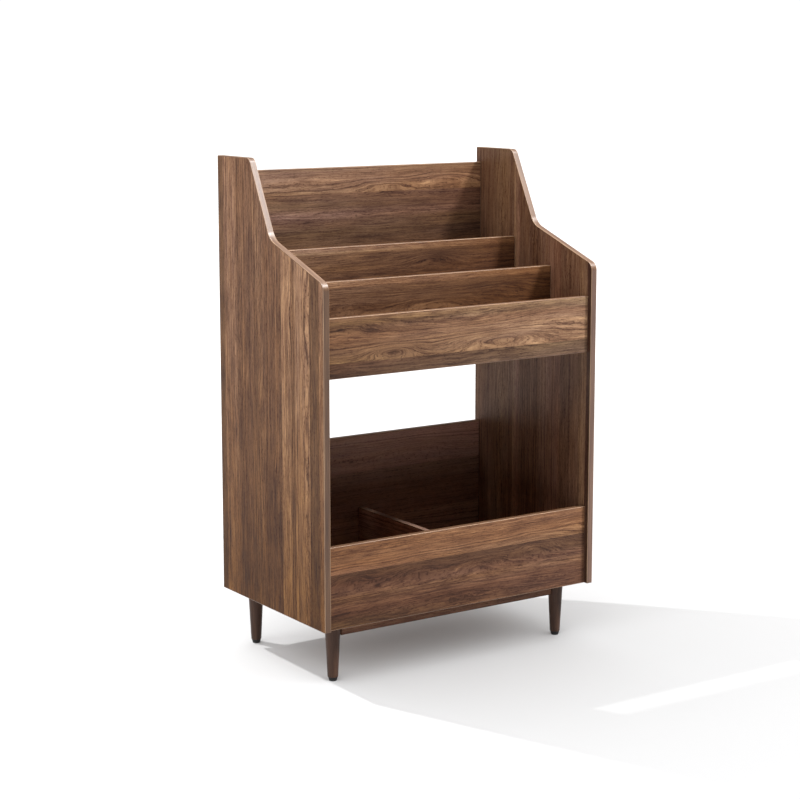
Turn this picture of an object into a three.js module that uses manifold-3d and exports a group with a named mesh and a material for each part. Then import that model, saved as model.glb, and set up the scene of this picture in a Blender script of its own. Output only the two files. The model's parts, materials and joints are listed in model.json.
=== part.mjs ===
// Free-standing magazine and record rack in laminated board, on four turned legs.
//
// Units are millimetres, +Z is up. The origin is on the floor, at the middle of the
// footprint. The rack faces -Y, its back is at +Y, and +X is to the right for somebody
// standing in front of it.
//
// How it goes together: two profiled side panels carry everything else between them.
// A stepped magazine section (front board, two dividers, back board, all standing on or
// against the tier shelf) fills the top. A bin for large books or records (front board,
// centre divider, back board, bottom panel) fills the base. The space between the two is
// open to the front and to the back. Cam bolts and cam locks pull the two horizontal
// panels against the sides, and dowels locate the upright boards. Under the bottom panel
// four steel plates take the legs' hanger bolts, and a rail runs between each pair of legs.

import * as THREE from 'three';
import { mergeVertices } from 'three/addons/utils/BufferGeometryUtils.js';
import Module from 'manifold-3d';

// ---------------------------------------------------------------- driving dimensions
const WIDTH = 730;             // outside of one side panel to the outside of the other
const DEPTH = 445;             // side panel, front edge to back edge
const HEIGHT = 1123;           // floor to the top of the side panels
const BOARD = 15;              // thickness of every board
const LIFT = 130;              // floor to the underside of the carcass

const TOP_RUN_END = 81;        // Y where the level top edge of a side panel ends
const KNEE_Y = -5;             // inner corner of the side panel's step
const KNEE_Z = 952.4;
const SHOULDER_Z = 875.7;      // where the sloping edge meets the front edge
const TOP_RADIUS = 18;         // rounding of the top front corner
const KNEE_RADIUS = 46;        // rounding of the inner corner
const SHOULDER_RADIUS = 22;    // rounding of the shoulder

const FRONT_INSET = 10.5;      // front boards stand this far behind the panels' front edges
const BACK_INSET = 4;          // back boards stand this far inside the panels' back edges

const UPPER_FRONT = [673, 802];      // bottom and top of the upper front board
const LOWER_FRONT = [LIFT, 312];     // bottom and top of the lower front board
const LOWER_BACK = [LIFT, 450];      // bottom and top of the lower back board
const SHELF_Z = 676;                 // underside of the tier shelf
const UPPER_BACK = [SHELF_Z, 1087.5];
const DIVIDER_FRONT_TOP = 860;
const DIVIDER_REAR_TOP = 918;
const BIN_DIVIDER_TOP = 276;

const LEG_X = 307;             // leg axes
const LEG_Y_FRONT = -159;
const LEG_Y_BACK = 175.5;
const LEG_TOP_R = 17.5;
const LEG_FOOT_R = 11.7;
const GLIDE_H = 8.5;           // height of the black glide under each leg
const GLIDE_TOP_R = 10.4;
const GLIDE_FOOT_R = 8.6;
const PLATE = 44;              // side of the square leg plate
const PLATE_T = 2.5;

const RAIL_H = 30;             // the rail between a pair of legs
const RAIL_GAP = 0.3;          // between its end and the leg
const RAIL_NOTCH = 3;          // height of the notch at each end that clears the leg plate

const GAP = 0.5;               // bores are this much larger in radius than their fastener
const DOWEL_R = 4;
const DOWEL_L = 30;
const DOWEL_IN_PANEL = 10;     // how much of a dowel is in the side panel or front board
const CAM_R = 7.2;             // cam lock
const CAM_H = 12;
const CAM_SET = 24;            // cam lock axis, from the end of its board

// Derived planes
const XI = WIDTH / 2 - BOARD;              // inner face of a side panel
const YF = -DEPTH / 2, YB = DEPTH / 2;     // front and back edges of the side panels
const FRONT_Y0 = YF + FRONT_INSET;         // front face of the front boards
const FRONT_Y1 = FRONT_Y0 + BOARD;
const BACK_Y1 = YB - BACK_INSET;           // back face of the back boards
const BACK_Y0 = BACK_Y1 - BOARD;
const SLOT = (BACK_Y0 - FRONT_Y1 - 2 * BOARD) / 3;   // three equal magazine slots
const DIV1_Y0 = FRONT_Y1 + SLOT, DIV1_Y1 = DIV1_Y0 + BOARD;
const DIV2_Y0 = DIV1_Y1 + SLOT, DIV2_Y1 = DIV2_Y0 + BOARD;

// ---------------------------------------------------------------- materials
const M = (color, roughness, metalness = 0) =>
  new THREE.MeshStandardMaterial({ color, roughness, metalness });
const walnutSide = M(0x5b3a2a, 0.5);
const walnutBoard = M(0x6a4430, 0.5);
const walnutInner = M(0x4f3226, 0.52);
const walnutLeg = M(0x4a2f22, 0.42);
const beech = M(0xc9a476, 0.7);
const zinc = M(0xa9abad, 0.35, 0.9);
const castZinc = M(0x8f9192, 0.45, 0.85);
const blackPlastic = M(0x151515, 0.55);

// ---------------------------------------------------------------- join and cut
const wasm = await Module();
wasm.setup();

function solid(geometry) {
  const g = geometry.clone();
  g.deleteAttribute('normal');
  g.deleteAttribute('uv');
  const merged = mergeVertices(g, 1e-4);
  return new wasm.Manifold(new wasm.Mesh({
    numProp: 3,
    vertProperties: new Float32Array(merged.attributes.position.array),
    triVerts: new Uint32Array(merged.index.array),
  }));
}

function geometryOf(manifold) {
  const m = manifold.getMesh();
  const g = new THREE.BufferGeometry();
  g.setAttribute('position', new THREE.BufferAttribute(new Float32Array(m.vertProperties), 3));
  g.setIndex(new THREE.BufferAttribute(new Uint32Array(m.triVerts), 1));
  g.computeVertexNormals();
  return g;
}

// A round cutter along one axis, from a to b on it, at (u, v) across it. The end at a
// face runs on past it.
function bore(axis, a, b, u, v, r, sides = 10) {
  const g = new THREE.CylinderGeometry(r, r, Math.abs(b - a), sides);
  const mid = (a + b) / 2;
  if (axis === 'x') { g.rotateZ(Math.PI / 2); g.translate(mid, u, v); }
  else if (axis === 'y') { g.translate(u, mid, v); }
  else { g.rotateX(Math.PI / 2); g.translate(u, v, mid); }
  return g;
}

// geometry is in place; it comes back as a mesh whose own origin is at "at".
function place(name, material, geometry, at, cutters = []) {
  let g = geometry;
  if (cutters.length) {
    let body = solid(geometry);
    for (const c of cutters) body = body.subtract(solid(c));
    g = geometryOf(body);
  }
  g.translate(-at[0], -at[1], -at[2]);
  const mesh = new THREE.Mesh(g, material);
  mesh.name = name;
  mesh.position.set(...at);
  return mesh;
}

function board(name, material, [x0, x1], [y0, y1], [z0, z1], cutters = []) {
  const g = new THREE.BoxGeometry(x1 - x0, y1 - y0, z1 - z0);
  const at = [(x0 + x1) / 2, (y0 + y1) / 2, (z0 + z1) / 2];
  g.translate(...at);
  return place(name, material, g, at, cutters);
}

// ---------------------------------------------------------------- where the fasteners go
const camsShelf = { z: SHELF_Z + BOARD / 2, under: SHELF_Z, ys: [-135, 142] };
const camsBottom = { z: LIFT + BOARD / 2, under: LIFT, ys: [-95, 108] };
const FRONT_MID = (FRONT_Y0 + FRONT_Y1) / 2;
const BACK_MID = (BACK_Y0 + BACK_Y1) / 2;
const dowelsAcross = [          // one at each end of these boards
  ['upper_front', FRONT_MID, 738],
  ['lower_front', FRONT_MID, 221],
  ['upper_back', BACK_MID, 890],
  ['lower_back', BACK_MID, 292],
  ['divider_front', (DIV1_Y0 + DIV1_Y1) / 2, 776],
  ['divider_rear', (DIV2_Y0 + DIV2_Y1) / 2, 806],
];
const BIN_DOWEL_Z = 212;

// Dowel holes in the two ends of a board, and the matching ones in a side panel.
const endHoles = (y, z) => [
  bore('x', XI - (DOWEL_L - DOWEL_IN_PANEL) - 1, XI + 1, y, z, DOWEL_R + GAP),
  bore('x', -XI - 1, -XI + (DOWEL_L - DOWEL_IN_PANEL) + 1, y, z, DOWEL_R + GAP),
];
const panelHole = (side, y, z) => {
  const a = side * (XI - 1), b = side * (XI + DOWEL_IN_PANEL + 1);
  return bore('x', Math.min(a, b), Math.max(a, b), y, z, DOWEL_R + GAP);
};
const panelCamHole = (side, y, z) => {
  const a = side * (XI - 1), b = side * (XI + 11);
  return bore('x', Math.min(a, b), Math.max(a, b), y, z, 3.0 + GAP);
};

// ---------------------------------------------------------------- side panels
// The outline runs in the YZ plane; each corner is [y, z, radius].
function filleted(corners, steps = 8) {
  const out = [];
  const n = corners.length;
  for (let i = 0; i < n; i++) {
    const [px, py, r] = corners[i];
    const a = new THREE.Vector2(...corners[(i + n - 1) % n].slice(0, 2));
    const b = new THREE.Vector2(...corners[(i + 1) % n].slice(0, 2));
    const p = new THREE.Vector2(px, py);
    if (!r) { out.push(p); continue; }
    const u = a.clone().sub(p).normalize(), w = b.clone().sub(p).normalize();
    const half = Math.acos(THREE.MathUtils.clamp(u.dot(w), -1, 1)) / 2;
    const reach = r / Math.tan(half);
    const centre = u.clone().add(w).normalize().multiplyScalar(r / Math.sin(half)).add(p);
    const s = p.clone().addScaledVector(u, reach).sub(centre);
    const e = p.clone().addScaledVector(w, reach).sub(centre);
    let a0 = Math.atan2(s.y, s.x), a1 = Math.atan2(e.y, e.x);
    while (a1 - a0 > Math.PI) a1 -= 2 * Math.PI;
    while (a1 - a0 < -Math.PI) a1 += 2 * Math.PI;
    for (let k = 0; k <= steps; k++) {
      const t = a0 + (a1 - a0) * k / steps;
      out.push(new THREE.Vector2(centre.x + r * Math.cos(t), centre.y + r * Math.sin(t)));
    }
  }
  return out;
}

function sidePanel(name, side) {
  const outline = filleted([
    [YB, LIFT, 0],
    [YB, HEIGHT, 0],
    [TOP_RUN_END, HEIGHT, TOP_RADIUS],
    [KNEE_Y, KNEE_Z, KNEE_RADIUS],
    [YF, SHOULDER_Z, SHOULDER_RADIUS],
    [YF, LIFT, 0],
  ]);
  const g = new THREE.ExtrudeGeometry(new THREE.Shape(outline), { depth: BOARD, bevelEnabled: false });
  // the outline was drawn in XY and pulled along Z: turn it so that X->Y, Y->Z, Z->X
  g.applyMatrix4(new THREE.Matrix4().makeBasis(
    new THREE.Vector3(0, 1, 0), new THREE.Vector3(0, 0, 1), new THREE.Vector3(1, 0, 0)));
  g.translate(side > 0 ? XI : -XI - BOARD, 0, 0);
  const cuts = [
    ...dowelsAcross.map(([, y, z]) => panelHole(side, y, z)),
    ...[camsShelf, camsBottom].flatMap(c => c.ys.map(y => panelCamHole(side, y, c.z))),
  ];
  return place(name, walnutSide, g, [side * (XI + BOARD / 2), 0, LIFT], cuts);
}

// ---------------------------------------------------------------- horizontal panels
function camCuts({ z, under, ys }) {
  return ys.flatMap(y => [-1, 1].flatMap(side => {
    const x = side * (XI - CAM_SET);
    const a = side * (XI + 1), b = side * (XI - CAM_SET);
    return [
      bore('z', under - 1, under + CAM_H + GAP, x, y, CAM_R + GAP, 16),
      bore('x', Math.min(a, b), Math.max(a, b), y, z, 4.4),
    ];
  }));
}

const tierShelf = board('tier_shelf', walnutInner, [-XI, XI], [FRONT_Y1, BACK_Y0],
  [SHELF_Z, SHELF_Z + BOARD], camCuts(camsShelf));

const legSpots = [
  ['front_left', -LEG_X, LEG_Y_FRONT], ['front_right', LEG_X, LEG_Y_FRONT],
  ['back_left', -LEG_X, LEG_Y_BACK], ['back_right', LEG_X, LEG_Y_BACK],
];

const bottomPanel = board('bottom_panel', walnutInner, [-XI, XI], [FRONT_Y1, BACK_Y0],
  [LIFT, LIFT + BOARD], [
    ...camCuts(camsBottom),
    ...legSpots.map(([, x, y]) => bore('z', LIFT - 1, LIFT + 9, x, y, 5)),
  ]);

// ---------------------------------------------------------------- upright boards
const carcass = new THREE.Group();
carcass.add(sidePanel('side_panel_left', -1));
carcass.add(sidePanel('side_panel_right', 1));
carcass.add(tierShelf, bottomPanel);

const tiers = new THREE.Group();
tiers.add(board('upper_front_board', walnutBoard, [-XI, XI], [FRONT_Y0, FRONT_Y1], UPPER_FRONT,
  endHoles(FRONT_MID, 738)));
tiers.add(board('upper_back_board', walnutBoard, [-XI, XI], [BACK_Y0, BACK_Y1], UPPER_BACK,
  endHoles(BACK_MID, 890)));
tiers.add(board('tier_divider_front', walnutBoard, [-XI, XI], [DIV1_Y0, DIV1_Y1],
  [SHELF_Z + BOARD, DIVIDER_FRONT_TOP], endHoles((DIV1_Y0 + DIV1_Y1) / 2, 776)));
tiers.add(board('tier_divider_rear', walnutBoard, [-XI, XI], [DIV2_Y0, DIV2_Y1],
  [SHELF_Z + BOARD, DIVIDER_REAR_TOP], endHoles((DIV2_Y0 + DIV2_Y1) / 2, 806)));

const bin = new THREE.Group();
const BIN_IN = DOWEL_L - DOWEL_IN_PANEL;
bin.add(board('lower_front_board', walnutBoard, [-XI, XI], [FRONT_Y0, FRONT_Y1], LOWER_FRONT, [
  ...endHoles(FRONT_MID, 221),
  bore('y', FRONT_Y1 - DOWEL_IN_PANEL - 1, FRONT_Y1 + 1, 0, BIN_DOWEL_Z, DOWEL_R + GAP),
]));
bin.add(board('lower_back_board', walnutBoard, [-XI, XI], [BACK_Y0, BACK_Y1], LOWER_BACK, [
  ...endHoles(BACK_MID, 292),
  bore('y', BACK_Y0 - 1, BACK_Y0 + DOWEL_IN_PANEL + 1, 0, BIN_DOWEL_Z, DOWEL_R + GAP),
]));
bin.add(board('bin_divider', walnutInner, [-BOARD / 2, BOARD / 2], [FRONT_Y1, BACK_Y0],
  [LIFT + BOARD, BIN_DIVIDER_TOP], [
    bore('y', FRONT_Y1 - 1, FRONT_Y1 + BIN_IN + 1, 0, BIN_DOWEL_Z, DOWEL_R + GAP),
    bore('y', BACK_Y0 - BIN_IN - 1, BACK_Y0 + 1, 0, BIN_DOWEL_Z, DOWEL_R + GAP),
  ]));

// ---------------------------------------------------------------- dowels
function turned(name, material, profile, at, direction, sides = 16) {
  // profile is [radius, distance] from the axis start; direction is the axis in the rack
  const g = new THREE.LatheGeometry(profile.map(([r, d]) => new THREE.Vector2(r, d)), sides);
  const mesh = new THREE.Mesh(g, material);
  mesh.name = name;
  mesh.position.set(...at);
  mesh.quaternion.setFromUnitVectors(new THREE.Vector3(0, 1, 0), new THREE.Vector3(...direction));
  return mesh;
}

const dowelProfile = [[0, 0], [DOWEL_R - 0.8, 0], [DOWEL_R, 1], [DOWEL_R, DOWEL_L - 1], [DOWEL_R - 0.8, DOWEL_L], [0, DOWEL_L]];
const fasteners = new THREE.Group();
for (const [name, y, z] of dowelsAcross) {
  for (const [sideName, side] of [['left', -1], ['right', 1]]) {
    fasteners.add(turned(`dowel_${name}_${sideName}`, beech, dowelProfile,
      [side * (XI + DOWEL_IN_PANEL), y, z], [-side, 0, 0], 8));
  }
}
fasteners.add(turned('dowel_bin_divider_front', beech, dowelProfile,
  [0, FRONT_Y1 - DOWEL_IN_PANEL, BIN_DOWEL_Z], [0, 1, 0], 8));
fasteners.add(turned('dowel_bin_divider_back', beech, dowelProfile,
  [0, BACK_Y0 + DOWEL_IN_PANEL, BIN_DOWEL_Z], [0, -1, 0], 8));

// ---------------------------------------------------------------- cam bolts and cam locks
// The bolt: thread in the side panel, collar on its face, shaft, neck and head.
const camBoltProfile = [
  [0, 0], [2.2, 0], [3, 1.2], [3, 10.4], [3.7, 10.4], [3.7, 12.4], [2.6, 12.9], [2.6, 29.5],
  [1.8, 30], [1.8, 34.2], [3.2, 35], [3.2, 36.6], [2.4, 37.6], [0, 37.6],
];
function camLock(name, x, y, { z, under }, side) {
  const body = new THREE.LatheGeometry([
    [0, 0], [CAM_R - 0.5, 0], [CAM_R, 0.5], [CAM_R, CAM_H - 0.4], [CAM_R - 0.4, CAM_H], [0, CAM_H],
  ].map(([r, d]) => new THREE.Vector2(r, d)), 16);
  body.rotateX(Math.PI / 2);                  // axis from Y to Z
  body.translate(x, y, under);
  const a = x + side * (CAM_R + 2), b = x - side * 6;
  const way = bore('x', Math.min(a, b), Math.max(a, b), y, z, 3.9);
  const blade = (w, d) => { const c = new THREE.BoxGeometry(w, d, 4); c.translate(x, y, under); return c; };
  return place(name, castZinc, body, [x, y, under], [way, blade(7, 1.4), blade(1.4, 7)]);
}
for (const [where, spec] of [['shelf', camsShelf], ['bottom', camsBottom]]) {
  for (const [depthName, y] of [['front', spec.ys[0]], ['back', spec.ys[1]]]) {
    for (const [sideName, side] of [['left', -1], ['right', 1]]) {
      fasteners.add(turned(`cam_bolt_${where}_${depthName}_${sideName}`, zinc, camBoltProfile,
        [side * (XI + 10.4), y, spec.z], [-side, 0, 0], 8));
      fasteners.add(camLock(`cam_lock_${where}_${depthName}_${sideName}`,
        side * (XI - CAM_SET), y, spec, side));
    }
  }
}

// ---------------------------------------------------------------- base: plates, legs, glides, rails
const base = new THREE.Group();
const LEG_TOP = LIFT - PLATE_T - 0.3;
for (const [spot, x, y] of legSpots) {
  // Square plate with rounded corners and a centre hole for the hanger bolt.
  const h = PLATE / 2;
  const plateOutline = filleted([[-h, -h, 5], [h, -h, 5], [h, h, 5], [-h, h, 5]], 3);
  const plate = new THREE.ExtrudeGeometry(new THREE.Shape(plateOutline), { depth: PLATE_T, bevelEnabled: false });
  plate.translate(x, y, LIFT - PLATE_T);
  const screwHoles = [[-1, -1], [1, -1], [1, 1], [-1, 1]].map(([i, j]) =>
    bore('z', LIFT - PLATE_T - 1, LIFT + 1, x + i * 15.5, y + j * 15.5, 2.2, 8));
  base.add(place(`leg_plate_${spot}`, zinc, plate, [x, y, LIFT - PLATE_T],
    [bore('z', LIFT - PLATE_T - 1, LIFT + 1, x, y, 4 + GAP), ...screwHoles]));

  // Turned leg, tapering to the foot, with a small chamfer at its top edge.
  const leg = new THREE.LatheGeometry([
    [0, GLIDE_H + 0.2], [LEG_FOOT_R - 1.2, GLIDE_H + 0.2], [LEG_FOOT_R, GLIDE_H + 1.6],
    [LEG_TOP_R, LEG_TOP - 1], [LEG_TOP_R - 0.8, LEG_TOP], [0, LEG_TOP],
  ].map(([r, z]) => new THREE.Vector2(r, z)), 24);
  leg.rotateX(Math.PI / 2);
  leg.translate(x, y, 0);
  base.add(place(`leg_${spot}`, walnutLeg, leg, [x, y, 0], [
    bore('z', LEG_TOP - 30, LEG_TOP + 1, x, y, 4 + GAP),
    bore('z', GLIDE_H - 1, GLIDE_H + 15.5, x, y, 2 + GAP, 8),
  ]));

  // Hanger bolt: wood thread in the leg, machine thread up through the plate.
  base.add(turned(`hanger_bolt_${spot}`, zinc,
    [[0, 0], [2.2, 0], [4, 3], [4, 37.5], [3.2, 38.5], [0, 38.5]],
    [x, y, LEG_TOP - 29.4], [0, 0, 1], 10));

  // Glide: a black plastic foot with its spike in the end of the leg.
  base.add(turned(`glide_${spot}`, blackPlastic, [
    [0, 0], [GLIDE_FOOT_R - 1, 0], [GLIDE_FOOT_R, 0.8], [GLIDE_TOP_R - 0.3, GLIDE_H - 1.2],
    [GLIDE_TOP_R - 0.9, GLIDE_H], [2, GLIDE_H], [2, GLIDE_H + 13], [0.6, GLIDE_H + 15], [0, GLIDE_H + 15],
  ], [x, y, 0], [0, 0, 1], 16));
}

// A rail fills the space between each pair of legs and is notched at its top corners,
// where it passes under the leg plates.
function rail(name, x, y) {
  const end = x - LEG_TOP_R - RAIL_GAP, notch = x - PLATE / 2 - 1;
  const z0 = LIFT - RAIL_H, z1 = LIFT - RAIL_NOTCH;
  const outline = [[-end, z0], [end, z0], [end, z1], [notch, z1], [notch, LIFT], [-notch, LIFT], [-notch, z1], [-end, z1]];
  const g = new THREE.ExtrudeGeometry(new THREE.Shape(outline.map((p) => new THREE.Vector2(...p))), { depth: BOARD, bevelEnabled: false });
  g.rotateX(Math.PI / 2);
  g.translate(0, y + BOARD / 2, 0);
  return place(name, walnutLeg, g, [0, y, LIFT - RAIL_H / 2]);
}
base.add(rail('cross_rail_front', LEG_X, LEG_Y_FRONT));
base.add(rail('cross_rail_rear', LEG_X, LEG_Y_BACK));

// ---------------------------------------------------------------- the whole rack
const rack = new THREE.Group();
rack.name = 'magazine_rack';
rack.add(carcass, tiers, bin, base, fasteners);

export default rack;
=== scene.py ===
import json
import math

import bmesh
import bpy
from mathutils import Matrix, Vector

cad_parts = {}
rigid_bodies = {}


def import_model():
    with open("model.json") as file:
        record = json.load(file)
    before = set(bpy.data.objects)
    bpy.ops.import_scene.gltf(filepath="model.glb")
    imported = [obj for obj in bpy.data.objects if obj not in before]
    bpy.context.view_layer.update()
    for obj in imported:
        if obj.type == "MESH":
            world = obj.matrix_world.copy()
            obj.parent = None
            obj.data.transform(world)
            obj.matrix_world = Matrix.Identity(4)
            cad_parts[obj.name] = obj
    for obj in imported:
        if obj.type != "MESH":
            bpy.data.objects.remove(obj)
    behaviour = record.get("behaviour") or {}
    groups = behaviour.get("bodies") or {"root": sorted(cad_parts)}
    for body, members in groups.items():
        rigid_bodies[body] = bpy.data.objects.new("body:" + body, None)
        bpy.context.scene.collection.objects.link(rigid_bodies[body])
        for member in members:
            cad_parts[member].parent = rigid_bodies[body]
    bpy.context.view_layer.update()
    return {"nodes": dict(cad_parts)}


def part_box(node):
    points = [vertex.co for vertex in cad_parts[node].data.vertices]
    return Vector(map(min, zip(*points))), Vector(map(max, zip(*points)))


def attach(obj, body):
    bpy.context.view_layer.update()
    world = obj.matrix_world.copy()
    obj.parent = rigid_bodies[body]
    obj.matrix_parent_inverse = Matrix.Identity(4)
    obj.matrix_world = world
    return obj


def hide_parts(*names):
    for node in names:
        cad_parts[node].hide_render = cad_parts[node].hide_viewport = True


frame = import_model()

MM = 0.001
scene = bpy.context.scene

# ------------------------------------------------------------------ colour
def lin(c, gain=1.0):
    """sRGB 0..255 to the linear colour a shader takes. gain is one number or one for each channel."""
    if not isinstance(gain, tuple):
        gain = (gain, gain, gain)
    out = []
    for x, g in zip(c, gain):
        x = x / 255.0
        x = x / 12.92 if x <= 0.04045 else ((x + 0.055) / 1.055) ** 2.4
        out.append(min(0.95, max(0.002, x * g)))
    return (*out, 1.0)


# ------------------------------------------------------------------ nodes
class Tree:
    """Short names for the nodes that the materials here are built from."""

    def __init__(self, tree):
        self.t = tree
        self.count = 0

    def new(self, kind, **props):
        n = self.t.nodes.new(kind)
        n.location = (180 * (self.count % 14), -170 * (self.count // 14))
        self.count += 1
        for k, v in props.items():
            setattr(n, k, v)
        return n

    def feed(self, socket, value):
        if isinstance(value, bpy.types.NodeSocket):
            self.t.links.new(value, socket)
        elif value is not None:
            socket.default_value = value

    def math(self, op, a, b=None, c=None, clamp=False):
        n = self.new("ShaderNodeMath", operation=op, use_clamp=clamp)
        for s, v in zip(n.inputs, (a, b, c)):
            self.feed(s, v)
        return n.outputs[0]

    def add(self, *terms):
        total = terms[0]
        for t in terms[1:]:
            total = self.math("ADD", total, t)
        return total

    def mul(self, *terms):
        total = terms[0]
        for t in terms[1:]:
            total = self.math("MULTIPLY", total, t)
        return total

    def lerp_range(self, v, a, b, c=0.0, d=1.0, smooth=False):
        n = self.new("ShaderNodeMapRange", interpolation_type="SMOOTHSTEP" if smooth else "LINEAR")
        for s, x in zip(n.inputs, (v, a, b, c, d)):
            self.feed(s, x)
        return n.outputs[0]

    def xyz(self, x, y, z):
        n = self.new("ShaderNodeCombineXYZ")
        for s, v in zip(n.inputs, (x, y, z)):
            self.feed(s, v)
        return n.outputs[0]

    def noise(self, vector, detail=2.0, rough=0.5, scale=1.0, distortion=0.0):
        n = self.new("ShaderNodeTexNoise", noise_dimensions="3D")
        self.feed(n.inputs["Vector"], vector)
        n.inputs["Scale"].default_value = scale
        n.inputs["Detail"].default_value = detail
        n.inputs["Roughness"].default_value = rough
        n.inputs["Distortion"].default_value = distortion
        return n.outputs["Fac"]

    def noise1(self, w, detail=2.0, rough=0.5):
        n = self.new("ShaderNodeTexNoise", noise_dimensions="1D")
        self.feed(n.inputs["W"], w)
        n.inputs["Scale"].default_value = 1.0
        n.inputs["Detail"].default_value = detail
        n.inputs["Roughness"].default_value = rough
        return n.outputs["Fac"]

    def ramp(self, fac, stops, mode="LINEAR"):
        n = self.new("ShaderNodeValToRGB")
        self.feed(n.inputs["Fac"], fac)
        r = n.color_ramp
        r.interpolation = mode
        while len(r.elements) > 1:
            r.elements.remove(r.elements[-1])
        r.elements[0].position = min(1.0, max(0.0, stops[0][0]))
        r.elements[0].color = stops[0][1]
        for p, c in stops[1:]:
            e = r.elements.new(min(1.0, max(0.0, p)))
            e.color = c
        return n.outputs["Color"]

    def mix(self, fac, a, b, blend="MIX"):
        n = self.new("ShaderNodeMix", data_type="RGBA", blend_type=blend)
        self.feed(n.inputs[0], fac)
        self.feed(n.inputs[6], a)
        self.feed(n.inputs[7], b)
        return n.outputs[2]


def material(name):
    m = bpy.data.materials.new(name)
    m.use_nodes = True
    t = m.node_tree
    for n in list(t.nodes):
        t.nodes.remove(n)
    out = t.nodes.new("ShaderNodeOutputMaterial")
    out.location = (2800, 0)
    b = t.nodes.new("ShaderNodeBsdfPrincipled")
    b.location = (2500, 0)
    t.links.new(b.outputs[0], out.inputs["Surface"])
    return m, Tree(t), b


def axes_mm(k, along, across, depth, o_along, o_across, s_along=1.0, s_across=1.0):
    """u along the grain, v across it and w into the board, in mm, from a corner of the board."""
    tc = k.new("ShaderNodeTexCoord")
    sep = k.new("ShaderNodeSeparateXYZ")
    k.t.links.new(tc.outputs["Object"], sep.inputs[0])
    p = {"X": sep.outputs[0], "Y": sep.outputs[1], "Z": sep.outputs[2]}
    u = k.math("MULTIPLY_ADD", p[along], 1000.0 * s_along, -o_along * s_along)
    v = k.math("MULTIPLY_ADD", p[across], 1000.0 * s_across, -o_across * s_across)
    w = k.math("MULTIPLY", p[depth], 1000.0)
    return u, v, w


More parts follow.
